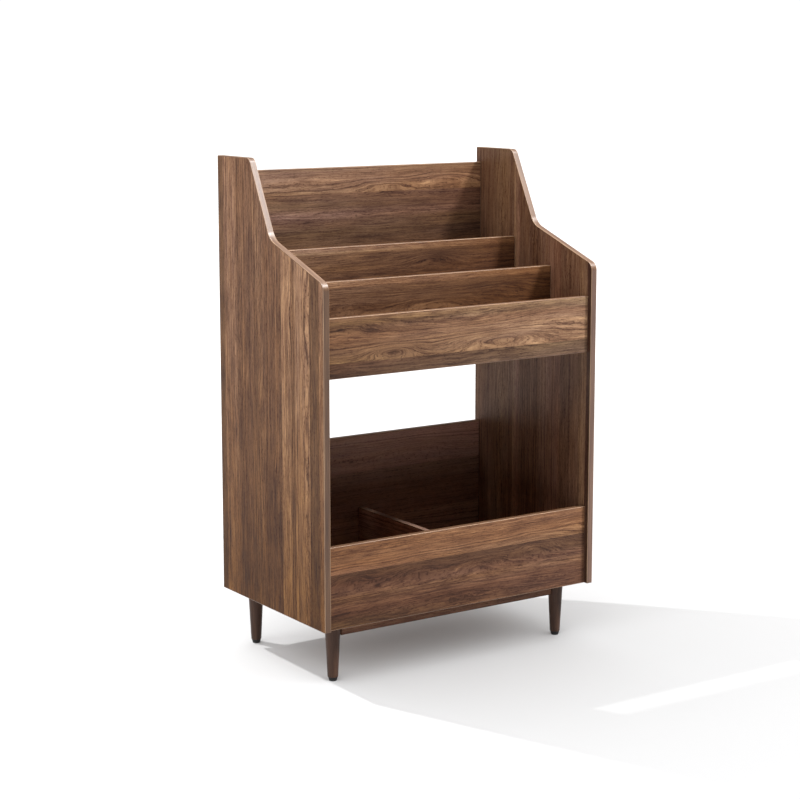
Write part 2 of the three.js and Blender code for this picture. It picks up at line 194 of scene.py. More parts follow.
# ------------------------------------------------------------------ walnut laminate
def walnut(name, along, across, depth, o_along, o_across, length, height, left, right=None,
           joints=(), figure=((0, 1.0),), bumps=(), seed=0.0, gain=1.0, s_along=1.0, s_across=-1.0,
           ring=7.0, lines=0.62, patch=(), contrast=1.0, sheen=0.22, wander=9.0,
           spread=1.0):
    """Planks of walnut side by side. left and right are tone stops (mm across the grain, colour) at the two ends of
    the board. joints are the mm across at which one plank ends and the next starts. figure is how strongly each
    plank shows its rings. bumps are (u, v, half length, half width, height) swellings of the ring field: a low one
    bends the lines, a high one closes them into an eye. patch is (u, v, half length, half width, strength) of soft
    darker places. sheen is the specular level of the lacquer film. wander is how many mm
    the tones stray sideways, and spread pushes the tones apart."""
    m, k, b = material(name)
    u, v, w = axes_mm(k, along, across, depth, o_along, o_across, s_along, s_across)
    sd = float(seed)

    # which plank, and how near its joint
    plank = 0.0
    guard = 1.0
    for j in joints:
        step = k.math("GREATER_THAN", v, float(j))
        plank = step if plank == 0.0 else k.math("ADD", plank, step)
        near = k.lerp_range(k.math("ABSOLUTE", k.math("SUBTRACT", v, float(j))), 0.0, 9.0)
        guard = near if guard == 1.0 else k.math("MULTIPLY", guard, near)
    shift = k.math("MULTIPLY", plank, 61.7) if joints else 0.0
    depth_seed = k.math("ADD", shift, sd) if joints else sd

    # the boundaries of tone and the fibres wander gently, but not the joints
    sway = k.noise(k.xyz(k.math("MULTIPLY", u, 1 / 240.0), k.math("MULTIPLY", v, 1 / 42.0), depth_seed), 2.0, 0.5)
    sway = k.math("MULTIPLY", k.math("SUBTRACT", sway, 0.5), wander)
    if joints:
        sway = k.math("MULTIPLY", sway, guard)
    v1 = k.math("ADD", v, sway)

    # ring field
    field = v1
    for (bu, bv, lu, lv, high) in bumps:
        du = k.math("MULTIPLY_ADD", u, 1.0 / lu, -bu / lu)
        dv = k.math("MULTIPLY_ADD", v1, 1.0 / lv, -bv / lv)
        q = k.math("ADD", k.math("MULTIPLY", du, du), k.math("MULTIPLY", dv, dv))
        hill = k.math("MULTIPLY", k.math("EXPONENT", k.math("MULTIPLY", q, -1.0)), float(high))
        field = k.math("ADD", field, hill)
    rough_edge = k.noise(k.xyz(k.math("MULTIPLY", u, 1 / 42.0), k.math("MULTIPLY", v1, 1 / 8.0), depth_seed), 3.0, 0.62)
    field = k.math("ADD", field, k.math("MULTIPLY", k.math("SUBTRACT", rough_edge, 0.5), 6.5))
    field = k.math("ADD", field, depth_seed)
    rings = k.noise1(k.math("MULTIPLY", field, 1.0 / ring), 2.5, 0.62)
    dark_line = k.lerp_range(rings, 0.50, 0.72, 0.0, 1.0, smooth=True)
    light_line = k.lerp_range(rings, 0.46, 0.27, 0.0, 1.0, smooth=True)

    # fibre: broad streaks, flecks that follow the rings, fine fibre
    s1 = k.noise(k.xyz(k.math("MULTIPLY", u, 1 / 330.0), k.math("MULTIPLY", v1, 1 / 12.0), depth_seed), 2.0, 0.5)
    s2 = k.noise(k.xyz(k.math("MULTIPLY", u, 1 / 115.0), k.math("MULTIPLY", field, 1 / 3.9), depth_seed), 3.0, 0.66)
    s3 = k.noise(k.xyz(k.math("MULTIPLY", u, 1 / 44.0), k.math("MULTIPLY", field, 1 / 1.7), depth_seed), 2.0, 0.62)
    # long thin dark lines between the rings
    vein = k.noise(k.xyz(k.math("MULTIPLY", u, 1 / 190.0), k.math("MULTIPLY", field, 1 / 2.1), k.math("ADD", depth_seed, 17.0) if joints else sd + 17.0), 1.5, 0.5)
    vein = k.lerp_range(vein, 0.57, 0.68, 0.0, 1.0, smooth=True)
    cloud = k.noise(k.xyz(k.math("MULTIPLY", u, 1 / 95.0), k.math("MULTIPLY", v1, 1 / 30.0), k.math("ADD", depth_seed, 9.0) if joints else sd + 9.0), 2.0, 0.5)
    # open pores: short dark dashes, thicker on the dark ring lines
    pore = k.noise(k.xyz(k.math("MULTIPLY", u, 1 / 8.0), k.math("MULTIPLY", field, 1 / 0.95), depth_seed), 1.0, 0.5)
    pore = k.lerp_range(k.math("ADD", pore, k.math("MULTIPLY", dark_line, 0.07)), 0.56, 0.68, 0.0, 1.0, smooth=True)

    # how strongly this plank shows its figure
    if len(figure) > 1:
        stops = [(f / height, (a, a, a, 1)) for f, a in figure]
        fig = k.ramp(k.math("MULTIPLY", v, 1.0 / height), stops, "CONSTANT")
        fig = k.math("MULTIPLY", fig, lines)
    else:
        fig = figure[0][1] * lines

    tone = k.math("MULTIPLY", k.math("SUBTRACT", s1, 0.5), 0.95 * contrast)
    tone = k.math("ADD", tone, k.math("MULTIPLY", k.math("SUBTRACT", s2, 0.5), 1.75 * contrast))
    tone = k.math("ADD", tone, k.math("MULTIPLY", k.math("SUBTRACT", s3, 0.5), 2.60 * contrast))
    tone = k.math("ADD", tone, k.math("MULTIPLY", k.math("SUBTRACT", cloud, 0.5), 1.00 * contrast))
    ring_tone = k.math("SUBTRACT", k.math("MULTIPLY", light_line, 0.4), dark_line)
    broken = k.lerp_range(s2, 0.30, 0.70, 0.45, 1.45)
    tone = k.math("ADD", tone, k.math("MULTIPLY", k.math("MULTIPLY", ring_tone, fig), broken))
    tone = k.math("ADD", tone, k.math("MULTIPLY", pore, -0.55))
    tone = k.math("ADD", tone, k.math("MULTIPLY", vein, -0.30 * contrast))
    # pale fibres stand out less than dark ones
    tone = k.math("SUBTRACT", tone, k.math("MULTIPLY", k.math("MAXIMUM", tone, 0.0), 0.42))
    tone = k.math("ADD", tone, 0.155)
    for (pu, pv, lu, lv, s) in patch:
        du = k.math("MULTIPLY_ADD", u, 1.0 / lu, -pu / lu)
        dv = k.math("MULTIPLY_ADD", v1, 1.0 / lv, -pv / lv)
        q = k.math("ADD", k.math("MULTIPLY", du, du), k.math("MULTIPLY", dv, dv))
        spot = k.math("MULTIPLY", k.math("EXPONENT", k.math("MULTIPLY", q, -1.0)), -float(s))
        tone = k.math("ADD", tone, spot)
    factor = k.math("EXPONENT", tone)
    # darker wood is redder: green and blue fall faster than red
    fast = k.math("POWER", factor, 1.18)
    tint = k.new("ShaderNodeCombineColor")
    k.feed(tint.inputs[0], factor)
    k.feed(tint.inputs[1], fast)
    k.feed(tint.inputs[2], fast)

    vv = k.math("MULTIPLY", v1, 1.0 / height)
    # gain paints the light and shade of this face into its colour: one multiplier for each end of the grain, blended
    # along it
    gains = gain if isinstance(gain, tuple) else ((gain,) * 3, (gain,) * 3)

    def tones(stops, g):
        seen = [lin(c, g) for _, c in stops]
        mid = [sum(c[i] for c in seen) / len(seen) for i in range(3)]
        return [(p / height, (*[m * (x / m) ** spread for x, m in zip(c, mid)], 1.0)) for (p, _), c in zip(stops, seen)]

    base = k.ramp(vv, tones(left, gains[0]))
    base_r = k.ramp(vv, tones(right or left, gains[1]))
    base = k.mix(k.lerp_range(u, 0.06 * length, 0.94 * length), base, base_r)
    # golden and cool places
    warm = k.noise(k.xyz(k.math("MULTIPLY", u, 1 / 210.0), k.math("MULTIPLY", v1, 1 / 21.0), k.math("ADD", depth_seed, 4.0) if joints else sd + 4.0), 2.0, 0.5)
    hue = k.ramp(warm, [(0.32, (0.97, 0.99, 1.06, 1)), (0.5, (1, 1, 1, 1)), (0.68, (1.02, 1.0, 0.94, 1))])
    col = k.mix(1.0, base, tint.outputs[0], "MULTIPLY")
    col = k.mix(1.0, col, hue, "MULTIPLY")
    k.feed(b.inputs["Base Color"], col)

    r = k.math("MULTIPLY_ADD", k.math("SUBTRACT", s2, 0.5), 0.16, 0.47)
    r = k.math("ADD", r, k.math("MULTIPLY", pore, 0.14))
    k.feed(b.inputs["Roughness"], r)
    b.inputs["Specular IOR Level"].default_value = sheen
    h = k.math("ADD", k.math("MULTIPLY", s3, 0.55), k.math("MULTIPLY", pore, -0.9))
    h = k.math("ADD", h, k.math("MULTIPLY", dark_line, -0.12))
    bump = k.new("ShaderNodeBump")
    bump.inputs["Strength"].default_value = 0.45
    bump.inputs["Distance"].default_value = 0.00012
    k.feed(bump.inputs["Height"], h)
    k.feed(b.inputs["Normal"], bump.outputs[0])
    return m


def edge_band(name, across, colour, gain=1.0, seed=0.0, upright=None, up_facing_highlight=None):
    """The walnut strip glued on a board's edge: straight fibres along the edge, paler than the faces. Two optional
    tints
    paint light by which way the edge faces: one on its vertical runs, painted shade on the left panel's band and
    painted sheen on the right's, and a painted highlight where the edge faces up."""
    m, k, b = material(name)
    tc = k.new("ShaderNodeTexCoord")
    sep = k.new("ShaderNodeSeparateXYZ")
    k.t.links.new(tc.outputs["Object"], sep.inputs[0])
    scale = {a: (1000 / 1.1 if a == across else 1000 / 70.0) for a in "XYZ"}
    fine = {a: (1000 / 0.42 if a == across else 1000 / 9.0) for a in "XYZ"}
    vec = k.xyz(*[k.math("MULTIPLY_ADD", sep.outputs[i], scale[a], 3.7 * seed) for i, a in enumerate("XYZ")])
    vec2 = k.xyz(*[k.math("MULTIPLY", sep.outputs[i], fine[a]) for i, a in enumerate("XYZ")])
    soft = {a: (1000 / 6.0 if a == across else 1000 / 160.0) for a in "XYZ"}
    vec3 = k.xyz(*[k.math("MULTIPLY", sep.outputs[i], soft[a]) for i, a in enumerate("XYZ")])
    s = k.noise(vec, 2.5, 0.6)
    p = k.lerp_range(k.noise(vec2, 1.0, 0.5), 0.62, 0.74, 0.0, 1.0, smooth=True)
    g = k.noise(vec3, 2.0, 0.5)
    tone = k.math("ADD", k.math("MULTIPLY", k.math("SUBTRACT", s, 0.5), 1.5), k.math("MULTIPLY", k.math("SUBTRACT", g, 0.5), 1.1))
    tone = k.math("ADD", tone, k.math("MULTIPLY", p, -0.3))
    f = k.math("EXPONENT", tone)
    fast = k.math("POWER", f, 1.18)
    tint = k.new("ShaderNodeCombineColor")
    k.feed(tint.inputs[0], f)
    k.feed(tint.inputs[1], fast)
    k.feed(tint.inputs[2], fast)
    col = k.mix(1.0, lin(colour, gain), tint.outputs[0], "MULTIPLY")
    # painted light by facing: one tint for the vertical runs (painted shade on one band, painted sheen on another), one
    # painted highlight for the runs that face up
    if upright and up_facing_highlight:
        facing = k.new("ShaderNodeSeparateXYZ")
        k.t.links.new(tc.outputs["Normal"], facing.inputs[0])
        facing_light_tint = k.ramp(facing.outputs[2], [(0.08, (*upright, 1)), (0.45, (1, 1, 1, 1)), (0.95, (*up_facing_highlight, 1))])
        col = k.mix(1.0, col, facing_light_tint, "MULTIPLY")
    k.feed(b.inputs["Base Color"], col)
    k.feed(b.inputs["Roughness"], k.math("MULTIPLY_ADD", s, 0.18, 0.31))
    b.inputs["Specular IOR Level"].default_value = 0.56
    bump = k.new("ShaderNodeBump")
    bump.inputs["Strength"].default_value = 0.4
    bump.inputs["Distance"].default_value = 0.0001
    k.feed(bump.inputs["Height"], k.math("SUBTRACT", s, k.math("MULTIPLY", p, 0.8)))
    k.feed(b.inputs["Normal"], bump.outputs[0])
    return m


def seam_line(name, colour):
    """The glue line between a face and its edge band."""
    m, k, b = material(name)
    tc = k.new("ShaderNodeTexCoord")
    n = k.noise(tc.outputs["Object"], 3.0, 0.6, scale=420.0)
    col = k.ramp(n, [(0.3, lin(colour, 0.6)), (0.7, lin(colour, 1.4))])
    k.feed(b.inputs["Base Color"], col)
    k.feed(b.inputs["Roughness"], k.lerp_range(n, 0.3, 0.7, 0.6, 0.8))
    return m


def turned_wood(name, colour, gain=1.0):
    """Stained solid wood with its grain along the leg, and a satin lacquer."""
    m, k, b = material(name)
    tc = k.new("ShaderNodeTexCoord")
    sep = k.new("ShaderNodeSeparateXYZ")
    k.t.links.new(tc.outputs["Object"], sep.inputs[0])
    x, y, z = sep.outputs

    def stretched(w, l, o=0.0):
        return k.xyz(k.math("MULTIPLY_ADD", x, 1000 / w, o), k.math("MULTIPLY", y, 1000 / w), k.math("MULTIPLY", z, 1000 / l))

    broad = k.noise(stretched(9.0, 150.0, 3.1), 2.0, 0.5)
    fibre = k.noise(stretched(1.6, 70.0, 7.7), 3.0, 0.6)
    pore = k.lerp_range(k.noise(stretched(0.55, 8.0, 1.9), 1.0, 0.5), 0.61, 0.73, 0.0, 1.0, smooth=True)
    tone = k.math("ADD", k.math("MULTIPLY", k.math("SUBTRACT", broad, 0.5), 1.1), k.math("MULTIPLY", k.math("SUBTRACT", fibre, 0.5), 0.95))
    tone = k.math("ADD", tone, k.math("MULTIPLY", pore, -0.35))
    f = k.math("EXPONENT", tone)
    fast = k.math("POWER", f, 1.15)
    tint = k.new("ShaderNodeCombineColor")
    k.feed(tint.inputs[0], f)
    k.feed(tint.inputs[1], fast)
    k.feed(tint.inputs[2], fast)
    k.feed(b.inputs["Base Color"], k.mix(1.0, lin(colour, gain), tint.outputs[0], "MULTIPLY"))
    k.feed(b.inputs["Roughness"], k.math("MULTIPLY_ADD", fibre, 0.2, 0.3))
    b.inputs["Specular IOR Level"].default_value = 0.2
    b.inputs["Coat Weight"].default_value = 0.05
    b.inputs["Coat Roughness"].default_value = 0.3
    bump = k.new("ShaderNodeBump")
    bump.inputs["Strength"].default_value = 0.4
    bump.inputs["Distance"].default_value = 0.00012
    k.feed(bump.inputs["Height"], k.math("SUBTRACT", fibre, k.math("MULTIPLY", pore, 0.8)))
    k.feed(b.inputs["Normal"], bump.outputs[0])
    return m


def moulded(name, colour, rough, scale=900.0):
    """Injection-moulded plastic: a fine spark-eroded grain and faint flow marks."""
    m, k, b = material(name)
    tc = k.new("ShaderNodeTexCoord")
    fine = k.noise(tc.outputs["Object"], 2.0, 0.6, scale=scale)
    flow = k.noise(tc.outputs["Object"], 2.0, 0.5, scale=90.0)
    k.feed(b.inputs["Base Color"], k.ramp(flow, [(0.3, lin(colour, 0.8)), (0.7, lin(colour, 1.35))]))
    k.feed(b.inputs["Roughness"], k.math("MULTIPLY_ADD", fine, 0.2, rough - 0.1))
    bump = k.new("ShaderNodeBump")
    bump.inputs["Strength"].default_value = 0.3
    bump.inputs["Distance"].default_value = 0.00008
    k.feed(bump.inputs["Height"], fine)
    k.feed(b.inputs["Normal"], bump.outputs[0])
    return m


def metal(name, colour, rough, spangle=60.0, brushed=None, metallic=1.0):
    """Plated or cast metal: a mottled plating and fine marks in one direction."""
    m, k, b = material(name)
    tc = k.new("ShaderNodeTexCoord")
    mottle = k.noise(tc.outputs["Object"], 4.0, 0.6, scale=spangle)
    sep = k.new("ShaderNodeSeparateXYZ")
    k.t.links.new(tc.outputs["Object"], sep.inputs[0])
    s = brushed or (1800.0, 1800.0, 1800.0)
    marks = k.noise(k.xyz(*[k.math("MULTIPLY", o, f) for o, f in zip(sep.outputs, s)]), 2.0, 0.6)
    k.feed(b.inputs["Base Color"], k.ramp(mottle, [(0.3, lin(colour, 0.78)), (0.55, lin(colour, 1.0)), (0.75, lin(colour, 1.12))]))
    b.inputs["Metallic"].default_value = metallic
    r = k.math("MULTIPLY_ADD", mottle, 0.22, rough - 0.11)
    r = k.math("ADD", r, k.math("MULTIPLY", k.math("SUBTRACT", marks, 0.5), 0.12))
    k.feed(b.inputs["Roughness"], r)
    bump = k.new("ShaderNodeBump")
    bump.inputs["Strength"].default_value = 0.25
    bump.inputs["Distance"].default_value = 0.00006
    k.feed(bump.inputs["Height"], marks)
    k.feed(b.inputs["Normal"], bump.outputs[0])
    return m


def beech(name):
    """Fluted beech dowel: pale straight grain with short darker flecks."""
    m, k, b = material(name)
    tc = k.new("ShaderNodeTexCoord")
    sep = k.new("ShaderNodeSeparateXYZ")
    k.t.links.new(tc.outputs["Object"], sep.inputs[0])
    x, y, z = sep.outputs
    fibre = k.noise(k.xyz(k.math("MULTIPLY", x, 60.0), k.math("MULTIPLY", y, 900.0), k.math("MULTIPLY", z, 900.0)), 3.0, 0.6)
    fleck = k.noise(k.xyz(k.math("MULTIPLY", x, 500.0), k.math("MULTIPLY", y, 2600.0), k.math("MULTIPLY", z, 2600.0)), 1.0, 0.5)
    fleck = k.lerp_range(fleck, 0.62, 0.7)
    col = k.ramp(fibre, [(0.25, lin((176, 132, 88))), (0.75, lin((214, 176, 130)))])
    k.feed(b.inputs["Base Color"], k.mix(k.math("MULTIPLY", fleck, 0.5), col, lin((132, 88, 56))))
    k.feed(b.inputs["Roughness"], k.math("MULTIPLY_ADD", fibre, 0.15, 0.6))
    bump = k.new("ShaderNodeBump")
    bump.inputs["Strength"].default_value = 0.4
    bump.inputs["Distance"].default_value = 0.0001
    k.feed(bump.inputs["Height"], fibre)
    k.feed(b.inputs["Normal"], bump.outputs[0])
    return m


# ------------------------------------------------------------------ meshes
def new_object(name, bm, mats):
    mesh = bpy.data.meshes.new(name)
    bm.normal_update()
    for f in bm.faces:
        f.smooth = True
    bm.to_mesh(mesh)
    bm.free()
    o = bpy.data.objects.new(name, mesh)
    scene.collection.objects.link(o)
    for m in mats:
        mesh.materials.append(m)
    return o


def weighted(o):
    mod = o.modifiers.new("even_faces", "WEIGHTED_NORMAL")
    mod.mode = "FACE_AREA"
    mod.weight = 100
    mod.keep_sharp = True
    mod.thresh = 0.01
    return o


def bore_mesh(axis, a, b, p, q, r, sides=40):
    """A round cutter along one axis from a to b, at (p, q) on the two others, in metres."""
    bm = bmesh.new()
    rings = []
    for t in (a, b):
        ring = []
        for i in range(sides):
            c, s = math.cos(2 * math.pi * i / sides) * r, math.sin(2 * math.pi * i / sides) * r
            co = {"X": (t, p + c, q + s), "Y": (p + c, t, q + s), "Z": (p + c, q + s, t)}[axis]
            ring.append(bm.verts.new(co))
        rings.append(ring)
    bm.faces.new(rings[0])
    bm.faces.new(rings[1])
    for i in range(sides):
        j = (i + 1) % sides
        bm.faces.new((rings[0][i], rings[0][j], rings[1][j], rings[1][i]))
    bmesh.ops.recalc_face_normals(bm, faces=bm.faces)
    return bm


def cut(o, cutters):
    """Cuts the bores out of o's mesh for good."""
    if not cutters:
        return o
    joined = bmesh.new()
    for c in cutters:
        tmp = bpy.data.meshes.new("cutter")
        c.to_mesh(tmp)
        c.free()
        joined.from_mesh(tmp)
        bpy.data.meshes.remove(tmp)
    mesh = bpy.data.meshes.new("cutters")
    joined.to_mesh(mesh)
    joined.free()
    tool = bpy.data.objects.new("cutters", mesh)
    scene.collection.objects.link(tool)
    mod = o.modifiers.new("bores", "BOOLEAN")
    mod.operation = "DIFFERENCE"
    mod.solver = "EXACT"
    mod.object = tool
    bpy.context.view_layer.update()
    dg = bpy.context.evaluated_depsgraph_get()
    done = bpy.data.meshes.new_from_object(o.evaluated_get(dg), depsgraph=dg)
    o.modifiers.remove(mod)
    old = o.data
    o.data = done
    done.name = old.name + "_cut"
    bpy.data.meshes.remove(old)
    bpy.data.objects.remove(tool)
    bpy.data.meshes.remove(mesh)
    for poly in done.polygons:
        poly.use_smooth = True
    return o


def arris_faces(bm, thin, slot):
    """The rounded corners between the two large faces and the edge band. They take slot 4: on the panels and boards its
    pale colour is a rubbed edge of the face sheet and a painted highlight along the arris.
    """
    for f in bm.faces:
        if 0.15 < abs(f.normal[thin]) < 0.985:
            f.material_index = slot


def seam_rings(bm, faces, slot_face, slot_seam):
    """A fine V groove all round each large face, where the face sheet meets the edge band."""
    for f, s in zip(faces, slot_face):
        inner = f
        r1 = bmesh.ops.inset_individual(bm, faces=[inner], thickness=0.00026, depth=-0.00009, use_even_offset=True)
        r2 = bmesh.ops.inset_individual(bm, faces=[inner], thickness=0.00026, depth=0.00009, use_even_offset=True)
        for g in r1["faces"] + r2["faces"]:
            g.material_index = slot_seam
        inner.material_index = s


def arrised_board(name, lo, hi, thin, mats, arris=0.0011, cutters=()):
    """A board with rounded arrises. thin is the axis of its thickness. mats: face -, face +, band, seam, arris."""
    bm = bmesh.new()
    vs = [bm.verts.new((x, y, z)) for x in (lo[0], hi[0]) for y in (lo[1], hi[1]) for z in (lo[2], hi[2])]
    for q in ((0, 1, 3, 2), (4, 6, 7, 5), (0, 4, 5, 1), (2, 3, 7, 6), (0, 2, 6, 4), (1, 5, 7, 3)):
        bm.faces.new([vs[i] for i in q])
    bmesh.ops.recalc_face_normals(bm, faces=bm.faces)
    bmesh.ops.bevel(bm, geom=list(bm.edges), offset=arris, offset_type="OFFSET", segments=4, profile=0.5, affect="EDGES")
    bm.normal_update()
    big = []
    for f in bm.faces:
        f.material_index = 2
    arris_faces(bm, thin, 4)
    for sign, slot in ((-1, 0), (1, 1)):
        best = max((f for f in bm.faces if f.normal[thin] * sign > 0.999), key=lambda f: f.calc_area())
        big.append((best, slot))
    seam_rings(bm, [f for f, _ in big], [s for _, s in big], 3)
    o = new_object(name, bm, mats)
    cut(o, list(cutters))
    return weighted(o)


def filleted(corners, steps):
    out = []
    n = len(corners)
    for i, (px, py, r) in enumerate(corners):
        p = Vector((px, py))
        if not r:
            out.append(p)
            continue
        a = (Vector(corners[i - 1][:2]) - p).normalized()
        c = (Vector(corners[(i + 1) % n][:2]) - p).normalized()
        half = math.acos(max(-1, min(1, a.dot(c)))) / 2
        reach = r / math.tan(half)
        centre = p + (a + c).normalized() * (r / math.sin(half))
        s, e = p + a * reach - centre, p + c * reach - centre
        a0, a1 = math.atan2(s.y, s.x), math.atan2(e.y, e.x)
        while a1 - a0 > math.pi:
            a1 -= 2 * math.pi
        while a1 - a0 < -math.pi:
            a1 += 2 * math.pi
        for j in range(steps + 1):
            t = a0 + (a1 - a0) * j / steps
            out.append(centre + Vector((math.cos(t), math.sin(t))) * r)
    return out


def profiled_panel(name, x0, x1, outline, mats, arris=0.0011, cutters=()):
    """A side panel: an outline in YZ, x0 to x1 thick, its two rims rounded. mats: face x0, face x1, band, seam,
    arris."""
    bm = bmesh.new()
    a = [bm.verts.new((x0, p[0], p[1])) for p in outline]
    c = [bm.verts.new((x1, p[0], p[1])) for p in outline]
    fa, fc = bm.faces.new(a), bm.faces.new(c)
    n = len(outline)
    for i in range(n):
        j = (i + 1) % n
        bm.faces.new((a[i], a[j], c[j], c[i]))
    bmesh.ops.recalc_face_normals(bm, faces=bm.faces)
    rims = [e for e in bm.edges if (e.verts[0].co.x == e.verts[1].co.x)]
    corners = [e for e in bm.edges if e.verts[0].co.x != e.verts[1].co.x and e.calc_face_angle() > math.radians(40)]
    bmesh.ops.bevel(bm, geom=rims + corners, offset=arris, offset_type="OFFSET", segments=4, profile=0.5, affect="EDGES")
    bm.normal_update()
    big = []
    for f in bm.faces:
        f.material_index = 2
    arris_faces(bm, 0, 4)
    for sign, slot in ((-1, 0), (1, 1)):
        best = max((f for f in bm.faces if f.normal[0] * sign > 0.999), key=lambda f: f.calc_area())
        big.append((best, slot))
    seam_rings(bm, [f for f, _ in big], [s for _, s in big], 3)
    o = new_object(name, bm, mats)
    cut(o, list(cutters))
    return weighted(o)


def turned(name, profile, at, mats, sides=64, axis=(0, 0, 1), slots=None, sharp=35):
    """A body of revolution. profile is [radius, distance] in metres; it starts and ends on the axis."""
    bm = bmesh.new()
    rings = []
    for r, d in profile:
        if r < 1e-9:
            rings.append([bm.verts.new((0, 0, d))])
        else:
            rings.append([bm.verts.new((r * math.cos(2 * math.pi * i / sides), r * math.sin(2 * math.pi * i / sides), d)) for i in range(sides)])
    for k in range(len(rings) - 1):
        p, q = rings[k], rings[k + 1]
        for i in range(sides):
            j = (i + 1) % sides
            if len(p) == 1 and len(q) == 1:
                continue
            if len(p) == 1:
                f = bm.faces.new((p[0], q[j], q[i]))
            elif len(q) == 1:
                f = bm.faces.new((p[i], p[j], q[0]))
            else:
                f = bm.faces.new((p[i], p[j], q[j], q[i]))
            if slots:
                f.material_index = slots[k]
    bmesh.ops.recalc_face_normals(bm, faces=bm.faces)
    rot = Vector((0, 0, 1)).rotation_difference(Vector(axis)).to_matrix().to_4x4()
    bmesh.ops.transform(bm, matrix=Matrix.Translation(at) @ rot, verts=bm.verts)
    o = new_object(name, bm, mats)
    o.data.set_sharp_from_angle(angle=math.radians(sharp))
    return o


def arc(cx, cz, r, a0, a1, n=5):
    """Points of an arc in a turned profile."""
    return [(cx + r * math.cos(math.radians(a0 + (a1 - a0) * i / n)), cz + r * math.sin(math.radians(a0 + (a1 - a0) * i / n))) for i in range(n + 1)]


# ------------------------------------------------------------------ what the CAD says
B = {n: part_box(n) for n in frame["nodes"]}
L_LO, L_HI = B["side_panel_left"]
R_LO, R_HI = B["side_panel_right"]
XI = R_LO.x                                   # inner face of the right side panel
W2 = R_HI.x
YF, YB = L_LO.y, L_HI.y
TOP, LIFT = L_HI.z, L_LO.z


def mm(v):
    return v / MM


# ------------------------------------------------------------------ materials
# What the light does to each face, as a pair: at the start of the grain direction and at its end
G_SIDE = ((0.91, 0.86, 0.82), (0.53, 0.39, 0.20))     # left side panel, outside
G_RIGHT = ((0.93, 0.87, 0.84), (1.05, 1.04, 1.12))    # right side panel, inside
G_FRONT = ((0.52, 0.45, 0.35), (0.66, 0.63, 0.58))
G_LOW = ((0.57, 0.47, 0.36), (0.65, 0.55, 0.46))
G_BACK = ((0.81, 0.77, 0.76), (0.60, 0.51, 0.44))
G_MID = ((0.84, 0.82, 0.79), (0.54, 0.42, 0.29))      # the two dividers
G_IN = ((1.12, 1.12, 1.30), (1.16, 1.16, 1.34))       # bin divider
G_FLAT = ((0.66, 0.58, 0.52), (0.66, 0.58, 0.52))     # tier shelf
G_FLOOR = ((1.00, 0.97, 1.04), (1.00, 0.97, 1.04))    # bin floor
G_BIN = ((1.20, 1.21, 1.46), (1.50, 1.52, 1.88))      # the lower back board, inside
G_REAR = ((0.84, 0.78, 0.74), (0.76, 0.68, 0.60))     # the lower back board, outside
G_BAND = (0.47, 0.40, 0.31)
DARK, DUSKY, BROWN, LIGHT, PALE = (107, 78, 57), (114, 83, 62), (120, 89, 67), (130, 98, 76), (139, 107, 84)
OUT_TONES = [
    (0, DARK), (21, DARK), (27, LIGHT), (70, LIGHT), (82, DUSKY), (142, DUSKY), (154, BROWN), (192, BROWN), (200, DUSKY),
    (270, DUSKY), (275, PALE), (308, PALE), (314, BROWN), (326, BROWN), (333, PALE), (387, PALE), (391, DARK), (425, DARK),
    (429, LIGHT), (445, LIGHT),
]
# The last two stops, 433 mm to 445 mm from the back, paint shade on the front strip of the right panel's inner face
# beside the front boards; the right panel's outer face takes the same stops.
IN_TONES = [
    (0, (105, 75, 55)), (60, (110, 80, 60)), (110, (125, 95, 70)), (150, (110, 80, 60)), (154, (135, 105, 80)), (174, (135, 100, 80)),
    (178, (110, 80, 60)), (250, (105, 75, 55)), (262, (120, 90, 70)), (330, (120, 85, 65)), (338, (105, 75, 55)), (400, (110, 80, 60)),
    (408, (125, 95, 70)), (428, (120, 90, 65)), (433, (70, 45, 35)), (445, (65, 45, 30)),
]
side_joints = (24.5, 273.0, 389.5, 427.0)
H_SIDE = mm(TOP - LIFT)
side_bumps = [(320, 360, 120, 24, 22), (560, 358, 150, 22, 20), (800, 362, 150, 22, 18), (140, 350, 90, 30, 14),
              (330, 300, 60, 16, 12), (760, 235, 130, 26, 16), (420, 60, 200, 24, 12), (650, 175, 200, 22, 12)]
side_patch = [(325, 305, 34, 12, 0.34), (810, 250, 46, 22, 0.30), (600, 60, 160, 22, 0.06), (940, 120, 120, 90, 0.16), (480, 175, 200, 30, 0.05)]
walnut_side_out_l = walnut("walnut_side_left_out", "Z", "Y", "X", mm(TOP), mm(YB), H_SIDE, 445.0, OUT_TONES, None,
                           joints=side_joints, figure=((0, 0.4), (24.5, 0.75), (273.0, 1.0), (389.5, 0.25), (427.0, 0.4)),
                           bumps=side_bumps, patch=side_patch, seed=3.0, gain=G_SIDE, s_along=-1.0, s_across=-1.0, ring=6.5, contrast=1.25, sheen=0.10, wander=3.5, spread=1.4)
walnut_side_out_r = walnut("walnut_side_right_out", "Z", "Y", "X", mm(TOP), mm(YB), H_SIDE, 445.0, IN_TONES, None,
                           joints=(110.0, 256.0, 402.0), figure=((0, 0.5), (110.0, 1.0), (256.0, 0.5), (402.0, 0.9)),
                           bumps=[(240, 180, 130, 26, 24), (520, 190, 150, 24, 20), (800, 175, 160, 26, 20), (420, 60, 220, 22, 10), (600, 330, 240, 26, 14)],
                           seed=31.0, gain=G_SIDE, sheen=0.12, s_along=-1.0, s_across=-1.0, ring=6.5)
walnut_side_in_l = walnut("walnut_side_left_in", "Z", "Y", "X", mm(TOP), mm(YB), H_SIDE, 445.0, OUT_TONES, None,
                          joints=(130.0, 273.0, 389.5), figure=((0, 0.5), (130.0, 0.9), (273.0, 0.4), (389.5, 0.5)),
                          bumps=[(300, 200, 160, 26, 20), (640, 210, 150, 24, 20), (500, 60, 220, 22, 10)],
                          seed=57.0, gain=G_SIDE, sheen=0.12, s_along=-1.0, s_across=-1.0, ring=6.5)
